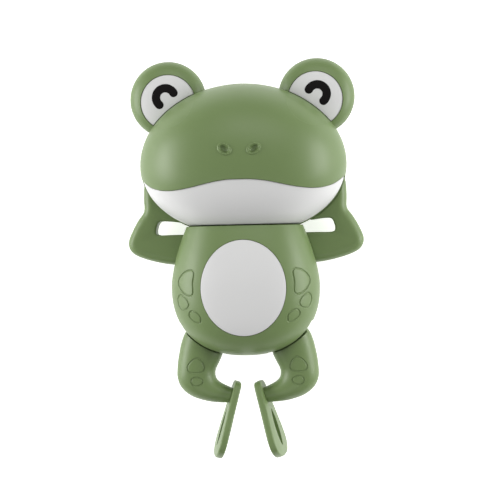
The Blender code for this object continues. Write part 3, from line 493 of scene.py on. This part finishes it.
def neck(half, y_range):
    """An oval bar along Y."""
    low, high = y_range
    bm = bmesh.new()
    place = (Matrix.Translation((0, (low + high) / 2, PARTING)) @ Matrix.Diagonal((half[0], 1, half[1], 1))
             @ Matrix.Rotation(math.radians(90), 4, "X"))
    bmesh.ops.create_cone(bm, cap_ends=True, segments=48, radius1=1, radius2=1, depth=high - low,
                          matrix=place)
    return made("tool", bm)


def grown(half, by):
    return (half[0] + by, half[1] + by)


def nostril(side, surface):
    """A dimple and the raised rim round it, as two tools."""
    tree = BVHTree.FromObject(surface, bpy.context.evaluated_depsgraph_get())
    spot, normal = tree.ray_cast(Vector((side * NOSTRIL[0], NOSTRIL[1], 0.1)), Vector((0, 0, -1)))[:2]
    lean = Vector((0, 0, 1)).rotation_difference(normal).to_matrix().to_4x4()
    turn = Matrix.Translation(spot) @ lean @ Matrix.Rotation(side * math.radians(32), 4, "Z")
    bm = bmesh.new()
    bmesh.ops.create_uvsphere(bm, u_segments=32, v_segments=20, radius=1,
                              matrix=turn @ Matrix.Diagonal((*NOSTRIL_HALF, 1)))
    dimple = made("tool", bm)
    bm = bmesh.new()
    upright = Matrix.Translation((2.25 * MM, 0, -0.12 * MM)) @ Matrix.Rotation(math.pi / 2, 4, "X")
    bmesh.ops.create_circle(bm, segments=16, radius=0.5 * MM, matrix=upright)
    bmesh.ops.spin(bm, geom=[*bm.verts, *bm.edges], cent=(0, 0, 0), axis=(0, 0, 1), angle=2 * math.pi,
                   steps=40, use_merge=True)
    bmesh.ops.remove_doubles(bm, verts=bm.verts, dist=1e-6)
    bmesh.ops.transform(bm, matrix=turn @ Matrix.Diagonal((1.14, 0.86, 1, 1)), verts=bm.verts)
    return made("tool", bm), dimple


def eye_at(side):
    return (side * EYE_CENTRE[0], EYE_CENTRE[1])


def eye_mark(side):
    """The printed arc of a smiling closed eye, as an upright prism."""
    start, end = math.radians(28), math.radians(230)
    steps, half = 28, MARK_STROKE / 2
    centre = Vector(MARK_CENTRE)
    outline = []
    for radius, first, last in ((MARK_RADIUS + half, start, end), (MARK_RADIUS - half, end, start)):
        for i in range(steps + 1):
            turn = first + (last - first) * i / steps
            outline.append(centre + radius * Vector((math.cos(turn), math.sin(turn))))
        tip = centre + MARK_RADIUS * Vector((math.cos(last), math.sin(last)))
        heading = last if radius > MARK_RADIUS else last + math.pi
        for i in range(1, 10):
            turn = heading + math.pi * i / 10
            outline.append(tip + half * Vector((math.cos(turn), math.sin(turn))))
    # The arc opens towards the middle of the face, so the left eye's is the right eye's in a mirror
    flipped = [(2 * centre.x - p.x, p.y) for p in outline]
    return prism([(side * x, y) for x, y in flipped], mm(15, 40))


def make_head(green, white, ink):
    shell = join(head_form(), *[ear_form(s) for s in SIDES.values()])
    cut(shell, head_form(WALL, 17), neck(grown(NECK_HALF, 0.4 * MM), mm(5, 19)))

    front = keep(copy_of(shell, "head_front"), block((-FAR, 0, PARTING + GAP / 2), (FAR, 0.12, FAR)))
    rear = keep(shell, block((-FAR, 0, -0.01), (FAR, 0.12, PARTING - GAP / 2)))
    rear.name = "head_back"

    jaw = copy_of(front, "jaw")
    keep(jaw, mouth_prism(0.12 * MM))
    keep(jaw, head_form(LIP))
    cut(front, mouth_prism(0))

    for word, side in SIDES.items():
        recess = cylinder(eye_at(side), EYE_RADIUS + 0.15 * MM, (EYE_FLOOR, FAR), 96)
        cut(front, cut(recess, head_form(0.05 * MM)))
        panel = keep(cylinder(eye_at(side), EYE_RADIUS, (EYE_BACK, FAR), 96), ear_form(side, 0.25 * MM, 31))
        cut(panel, head_form(-0.2 * MM))
        mark = cut(keep(eye_mark(side), ear_form(side, 0.2 * MM, 31)), ear_form(side, 0.32 * MM, 31))
        panel.name, mark.name = f"eye_white_{word}", f"eye_mark_{word}"
        settle(panel, white, "shell", "white_plastic", f"eye_panel_{word}")
        settle(mark, ink, "shell", "white_plastic")

    rims, dimples = zip(*[nostril(side, front) for side in SIDES.values()])
    join(front, *rims)
    cut(front, *dimples)

    for spot in HEAD_SCREWS:
        join(front, keep(cylinder(spot, FRONT_BOSS, (PARTING + GAP / 2, FAR)), head_form(0.5 * MM, 17)))
        join(rear, keep(cylinder(spot, REAR_BOSS, (0, PARTING - GAP / 2)), head_form(0.5 * MM, 17)))
        cut(front, cylinder(spot, PILOT_HOLE, mm(18, 31)))
        cut(rear, cylinder(spot, HEAD_HOLE, mm(-1, 7)), cylinder(spot, SHANK_HOLE, mm(0, 20)))
    settle(front, green, "shell", "green_plastic", "head_front_shell")
    settle(jaw, white, "shell", "white_plastic", "jaw_panel")
    settle(rear, green, "shell", "green_plastic", "head_rear_shell")


# ---- the body ----
def belly_prism(grow):
    """An upright oval bar as large as the belly panel, and more by grow."""
    count = 128
    outline = []
    for i in range(count):
        turn = 2 * math.pi * i / count
        outline.append(((BELLY_HALF[0] + grow) * math.cos(turn),
                        BELLY_CENTRE[1] + (BELLY_HALF[1] + grow) * math.sin(turn)))
    return prism(outline, mm(25, 50))


def leg_slot(side):
    """The room that the leg's upper end sweeps as it swings."""
    circles = []
    for degrees in LEG_SWING:
        swing = Matrix.Rotation(math.radians(degrees), 2)
        for row in LIMB[:4]:
            inner, outer = Vector(mm(*row[:2])), Vector(mm(*row[2:4]))
            spot = Vector(HIP) + swing @ ((inner + outer) / 2 - Vector(HIP))
            circles.append(((side * spot.x, spot.y), (outer - inner).length / 2 + 0.7 * MM))
    return hull(circles, LEG_SLOT_Z)


def shoulder_peg(grow, reach):
    """The peg that holds the left arm in the body, or the hole for it."""
    y, z = SHOULDER
    inner = 22.6 * MM - grow
    bm = bmesh.new()
    place = Matrix.Translation(((inner + reach) / 2, y, z)) @ Matrix.Rotation(math.radians(90), 4, "Y")
    bmesh.ops.create_cone(bm, cap_ends=True, segments=32, radius1=SHOULDER_PEG + grow,
                          radius2=SHOULDER_PEG + grow, depth=reach - inner, matrix=place)
    return made("tool", bm)


def make_body(green, white):
    shell = body_form()
    join(shell, neck(NECK_HALF, (10 * MM, NECK_TOP)),
         neck(grown(NECK_HALF, FLANGE), (NECK_TOP - 2 * MM, NECK_TOP)))
    cut(shell, body_form(WALL, 17), neck(grown(NECK_HALF, -2.2 * MM), mm(5, 30)))
    front = keep(copy_of(shell, "body_front"), block((-FAR, -FAR, PARTING + GAP / 2), (FAR, FAR, FAR)))
    rear = keep(shell, block((-FAR, -FAR, -0.01), (FAR, FAR, PARTING - GAP / 2)))
    rear.name = "body_back"

    well_wall = cylinder(WINDING, WELL_RADIUS + 1.6 * MM, (-2 * MM, WELL_FLOOR[1]), 96)
    join(rear, keep(well_wall, body_form(0.5 * MM, 17)))
    for spot in CASE_SCREWS:
        join(rear, keep(cylinder(spot, CASE_BOSS, mm(0, 9.7)), body_form(0.5 * MM, 17)))
    cut(rear, cylinder(WINDING, WELL_RADIUS, (-2 * MM, WELL_FLOOR[0]), 96),
        cylinder(WINDING, 2.3 * MM, mm(5, 12)))
    for spot in CASE_SCREWS:
        cut(rear, cylinder(spot, 1.4 * MM, mm(4, 12)))
    for side in SIDES.values():
        hip = (side * HIP[0], HIP[1])
        join(rear, keep(cylinder(hip, HIP_BOSS, mm(0, 8.8)), body_form(0.5 * MM, 17)))
        join(front, keep(cylinder(hip, HIP_BOSS, (27.6 * MM, FAR)), body_form(0.5 * MM, 17)))
    for spot in BODY_SCREWS:
        join(rear, keep(cylinder(spot, REAR_BOSS, (0, PARTING - GAP / 2)), body_form(0.5 * MM, 17)))
        join(front, keep(cylinder(spot, FRONT_BOSS, (PARTING + GAP / 2, FAR)), body_form(0.5 * MM, 17)))
        cut(rear, cylinder(spot, HEAD_HOLE, mm(-1, 9)), cylinder(spot, SHANK_HOLE, mm(0, 20)))
        cut(front, cylinder(spot, PILOT_HOLE, mm(18, 27)))
    for side in SIDES.values():
        hip = (side * HIP[0], HIP[1])
        cut(rear, cylinder(hip, HIP_HOLE, mm(6.5, 10)), leg_slot(side))
        cut(front, cylinder(hip, HIP_HOLE, mm(26, 31)), leg_slot(side))
    peg = shoulder_peg(0.3 * MM, 40 * MM)
    cut(rear, mirrored(peg, "tool"), peg)

    outlines = [pad for outline in BODY_PADS for pad in (outline, other_side(outline))]
    cut(front, *[groove(outline, front) for outline in outlines])
    cut(front, cut(belly_prism(0.14 * MM), body_form(1.1 * MM)))
    panel = keep(body_form(-0.25 * MM), belly_prism(0))
    panel.name = "belly"
    cut(panel, body_form(0.8 * MM))
    settle(front, green, "shell", "green_plastic", "body_front_shell")
    settle(rear, green, "shell", "green_plastic", "body_rear_shell")
    settle(panel, white, "shell", "white_plastic", "belly_panel")


# ---- the arms ----
def rounded_plate(outline, rounding, z_range, steps=6):
    """A flat plate inside a clockwise outline, where each point has its own edge radius."""
    low, high = z_range
    bm = bmesh.new()
    inward = []
    for i in range(len(outline)):
        along = (outline[(i + 1) % len(outline)] - outline[i - 1]).normalized()
        inward.append(Vector((along.y, -along.x)))
    rings = []
    for end, sign in ((low, -1), (high, 1)):
        turns = [math.radians(90) * i / steps for i in range(steps + 1)]
        for turn in (turns if sign > 0 else reversed(turns)):
            rings.append([
                bm.verts.new((*(p + n * r * (1 - math.cos(turn))), end - sign * r * (1 - math.sin(turn))))
                for p, n, r in zip(outline, inward, rounding)])
    for one, two in zip(rings, rings[1:]):
        for i in range(len(outline)):
            bm.faces.new((one[i - 1], one[i], two[i], two[i - 1]))
    bm.faces.new(rings[0])
    bm.faces.new(rings[-1])
    return bm


def make_arms(green):
    """Thick plates with rounded edges, trimmed where they meet the body and the back of the head."""
    steps = 4
    outline = [Vector(spot) * MM for spot in through(ARM, steps)]
    sharp = steps * (ARM_GAP_CORNERS - 1)
    last = len(outline) - 1
    shares = [max(0, min(1, (i - sharp) / (2 * steps), (last - i) / steps)) for i in range(last + 1)]
    rounding = [ARM_EDGES[0] + (ARM_EDGES[1] - ARM_EDGES[0]) * share for share in shares]
    arm = made("arm_left_skin", rounded_plate(outline, rounding, ARM_Z))
    cut(arm, body_form(-GAP), head_form(-GAP))
    join(arm, keep(shoulder_peg(0, 34 * MM), block(mm(-60, -20, 0), mm(60, 20, 30))))
    other = mirrored(arm, "arm_right_skin")
    settle(arm, green, "shell", "green_plastic", "arm_left")
    settle(other, green, "shell", "green_plastic", "arm_right")


# ---- the legs ----
def limb_form(steps=8, around=64):
    """The left leg from hip to ankle: oval rings, each laid from the inner edge to the outer."""
    rows = through([tuple(v * MM for v in row) for row in LIMB], steps)
    bm = bmesh.new()

    def ring(row, size=1.0, back=0.0):
        inner, outer = Vector(row[:2]), Vector(row[2:4])
        middle, reach = (inner + outer) / 2 + Vector((0, back)), (outer - inner) / 2 * size
        turns = [2 * math.pi * i / around for i in range(around)]
        return [bm.verts.new((*(middle + reach * math.cos(a)), LEG_Z + row[4] * size * math.sin(a)))
                for a in turns]

    half = (Vector(rows[0][:2]) - Vector(rows[0][2:4])).length / 2
    ends = [math.radians(a) for a in (20, 45, 70)]
    rings = [ring(rows[0], math.sin(a), math.cos(a) * half) for a in ends] + [ring(row) for row in rows]
    for one, two in zip(rings, rings[1:]):
        for i in range(around):
            bm.faces.new((one[i - 1], one[i], two[i], two[i - 1]))
    bm.faces.new(rings[0])
    bm.faces.new(rings[-1])
    return made("tool", bm)


def fin_frame():
    """The left fin's own axes: along its length, across its width and out of its outer face."""
    along = (FIN_TOE - FIN_HEEL).normalized()
    out = Vector((-along.y, along.x, 0))
    across = Vector((0, 0, 1)) * math.cos(FIN_SPLAY) - out * math.sin(FIN_SPLAY)
    face = along.cross(across) * -1
    matrix = Matrix((along, across, face)).transposed().to_4x4()
    matrix.translation = FIN_HEEL
    return matrix


def ankle_peg(grow):
    """The peg on the shin that the fin is pressed onto."""
    bm = bmesh.new()
    place = Matrix.Translation((7.4 * MM, -56.7 * MM, LEG_Z)) @ Matrix.Rotation(math.radians(90), 4, "Y")
    bmesh.ops.create_cone(bm, cap_ends=True, segments=32, radius1=1.5 * MM + grow, radius2=1.5 * MM + grow,
                          depth=3.6 * MM + 2 * grow, matrix=place)
    return made("tool", bm)


def make_legs(green):
    leg = limb_form()
    leg.name = "leg_left_skin"
    bm = bmesh.new()
    bmesh.ops.create_cube(bm, size=1)
    centre = Matrix.Translation((10 * MM, 0, FIN_THICKNESS + 0.12 * MM - 10 * MM))
    bm.transform(fin_frame() @ centre @ Matrix.Diagonal((*mm(60, 60, 20), 1)))
    cut(leg, made("tool", bm))
    # A fine groove where the thigh enters the body at rest
    crease = cut(body_form(-0.35 * MM), body_form(0.5 * MM))
    cut(leg, keep(crease, block(mm(-60, -60, 19.5), mm(60, 0, 60))))
    join(leg, ankle_peg(0), cylinder(HIP, 3.6 * MM, mm(13, 26.8)))
    cut(leg, cylinder(HIP, HIP_HOLE, mm(5, 30)), *[groove(outline, leg, 0.38 * MM) for outline in LEG_PADS])
    other = mirrored(leg, "leg_right_skin")
    settle(leg, green, "left_leg", "green_plastic", "leg_left")
    settle(other, green, "right_leg", "green_plastic", "leg_right")


def make_fins(green):
    """Webbed feet: paddles with rounded rims and a narrow hollow in the outer face."""
    half = through(FIN_OUTLINE, 5)
    outline = [(u * MM, w * MM) for u, w in half] + [(u * MM, -w * MM) for u, w in reversed(half[:-1])]
    bm = bmesh.new()
    bm.faces.new([bm.verts.new((u, w, 0)) for u, w in outline])
    raised(bm, FIN_THICKNESS)
    rims = [e for e in bm.edges if abs(e.verts[0].co.z - e.verts[1].co.z) < 1e-7]
    bmesh.ops.bevel(bm, geom=rims, offset=0.7 * MM, offset_type="OFFSET", affect="EDGES", segments=3,
                    profile=0.5, material=-1, clamp_overlap=True)
    bm.transform(fin_frame())
    fin = made("fin_left_skin", bm)
    outline = [(u * MM, w * MM) for u, w in through(FIN_LENS, 6, closed=True)]
    bm = bmesh.new()
    bm.faces.new([bm.verts.new((u, w, FIN_THICKNESS - FIN_DISH)) for u, w in outline])
    raised(bm, 4 * MM)
    bm.transform(fin_frame())
    cut(fin, made("tool", bm), ankle_peg(0.25 * MM))
    other = mirrored(fin, "fin_right_skin")
    settle(fin, green, "left_leg", "green_plastic", "fin_left")
    settle(other, green, "right_leg", "green_plastic", "fin_right")


# ---- the knob ----
def make_knob(white):
    """A round knob with a grip bar and a scalloped edge."""
    knob = cylinder(WINDING, KNOB_RADIUS, KNOB_Z, 120)
    scallops = []
    for i in range(SCALLOPS):
        turn = 2 * math.pi * (i + 0.5) / SCALLOPS
        spot = (WINDING[0] + 10.3 * MM * math.cos(turn), WINDING[1] + 10.3 * MM * math.sin(turn))
        scallops.append(cylinder(spot, 1.6 * MM, mm(3, 9), 36))
    cut(knob, *scallops)
    ends = [(WINDING[0], WINDING[1] + d) for d in (-GRIP_REACH, GRIP_REACH)]
    join(knob, hull([(spot, 2.3 * MM) for spot in ends], GRIP_Z),
         cylinder(WINDING, 4.0 * MM, GRIP_Z, 64))
    cut(knob, cylinder(WINDING, 2.0 * MM, mm(3.4, 9)), cylinder(WINDING, 2.4 * MM, mm(0, 2.3)),
        cylinder(WINDING, 1.2 * MM, mm(1, 5)))
    knob.name = "knob"
    settle(knob, white, "winding", "white_plastic", "winding_knob")


# ---- the studio ----
def softbox(name, place, target, size, power):
    lamp = bpy.data.lights.new(name, "AREA")
    lamp.shape = "RECTANGLE"
    lamp.size, lamp.size_y = size
    lamp.energy = power
    obj = bpy.data.objects.new(name, lamp)
    obj.location = place
    obj.rotation_euler = (Vector(target) - Vector(place)).to_track_quat("-Z", "Y").to_euler()
    bpy.context.scene.collection.objects.link(obj)


def make_studio():
    bm = bmesh.new()
    bmesh.ops.create_grid(bm, x_segments=2, y_segments=2, size=1.5,
                          matrix=Matrix.Translation((0, 0, -0.0002)))
    floor = made("floor", bm)
    paper = bpy.data.materials.new("white_paper")
    paper.use_nodes = True
    shader = paper.node_tree.nodes["Principled BSDF"]
    shader.inputs["Base Color"].default_value = (0.95, 0.95, 0.95, 1)
    shader.inputs["Roughness"].default_value = 0.9
    shader.inputs["Emission Color"].default_value = (1, 1, 1, 1)
    shader.inputs["Emission Strength"].default_value = 0.7
    floor.data.materials.append(paper)

    softbox("left_box", (-0.75, 0.10, 0.26), (0, 0.02, 0.02), (0.6, 0.3), 5.2)
    softbox("right_box", (0.75, 0.10, 0.26), (0, 0.02, 0.02), (0.6, 0.3), 4.6)
    softbox("top_box", (0.1, 0.65, 0.75), (0, 0.02, 0.02), (0.7, 0.4), 2.0)
    softbox("foot_box", (-0.05, -0.5, 0.8), (0, 0.0, 0.02), (0.7, 0.4), 1.0)
    world = bpy.data.worlds.new("studio")
    world.use_nodes = True
    background = world.node_tree.nodes["Background"]
    background.inputs["Color"].default_value = (1, 1, 1, 1)
    background.inputs["Strength"].default_value = 0.3
    bpy.context.scene.world = world


def make_camera():
    """Looks straight down on the belly, turned a little about the toy's long axis."""
    lens, sensor, frame_width, depth = 135.0, 36.0, 207.5 * MM, 22 * MM
    distance = frame_width * lens / sensor
    target = Vector((*mm(2.2, 3.6), depth))
    yaw, roll = math.radians(3.2), math.radians(1.2)
    camera = bpy.data.cameras.new("camera")
    camera.lens, camera.sensor_width = lens, sensor
    camera.clip_start, camera.clip_end = 0.05, 10
    obj = bpy.data.objects.new("camera", camera)
    turn = Matrix.Rotation(yaw, 4, "Y") @ Matrix.Rotation(-roll, 4, "Z")
    obj.matrix_world = Matrix.Translation(target) @ turn @ Matrix.Translation((0, 0, distance))
    bpy.context.scene.collection.objects.link(obj)
    bpy.context.scene.camera = obj


def main():
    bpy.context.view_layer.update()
    bpy.context.scene.view_settings.view_transform = "Standard"
    make_camera()
    make_studio()

    green = moulded_plastic("sage_plastic", (0.150, 0.220, 0.079), 0.42, 0.05)
    white = moulded_plastic("white_plastic", (0.68, 0.68, 0.675), 0.42, 0.015)
    ink = moulded_plastic("black_ink", (0.005, 0.004, 0.004), 0.5, 0.1, 0.02, shine=0.12)
    acetal = moulded_plastic("acetal", (0.80, 0.78, 0.70), 0.38, 0.02, 0.02, 0.15)
    grey = moulded_plastic("movement_moulding", (0.50, 0.51, 0.50), 0.5, 0.03, 0.05, 0.2)
    rubber = moulded_plastic("nitrile_rubber", (0.02, 0.02, 0.02), 0.65, 0.1, 0.1, 0.1)
    steel = metal("bright_steel", (0.62, 0.63, 0.64), 0.22)
    blued = metal("blued_spring_steel", (0.20, 0.24, 0.33), 0.28)
    finishes = {"green_plastic": green, "white_plastic": white, "inner_plastic": grey, "gear_plastic": acetal,
                "steel": steel, "spring_steel": blued, "rubber": rubber}
    for subpart in frame["record"]["subparts"]:
        node = bpy.data.objects.get(subpart["node"])
        if node is not None and node.type == "MESH":
            node.data.materials.clear()
            node.data.materials.append(finishes[subpart["material_slot"]])

    make_head(green, white, ink)
    make_body(green, white)
    make_arms(green)
    make_legs(green)
    make_fins(green)
    make_knob(white)


main()
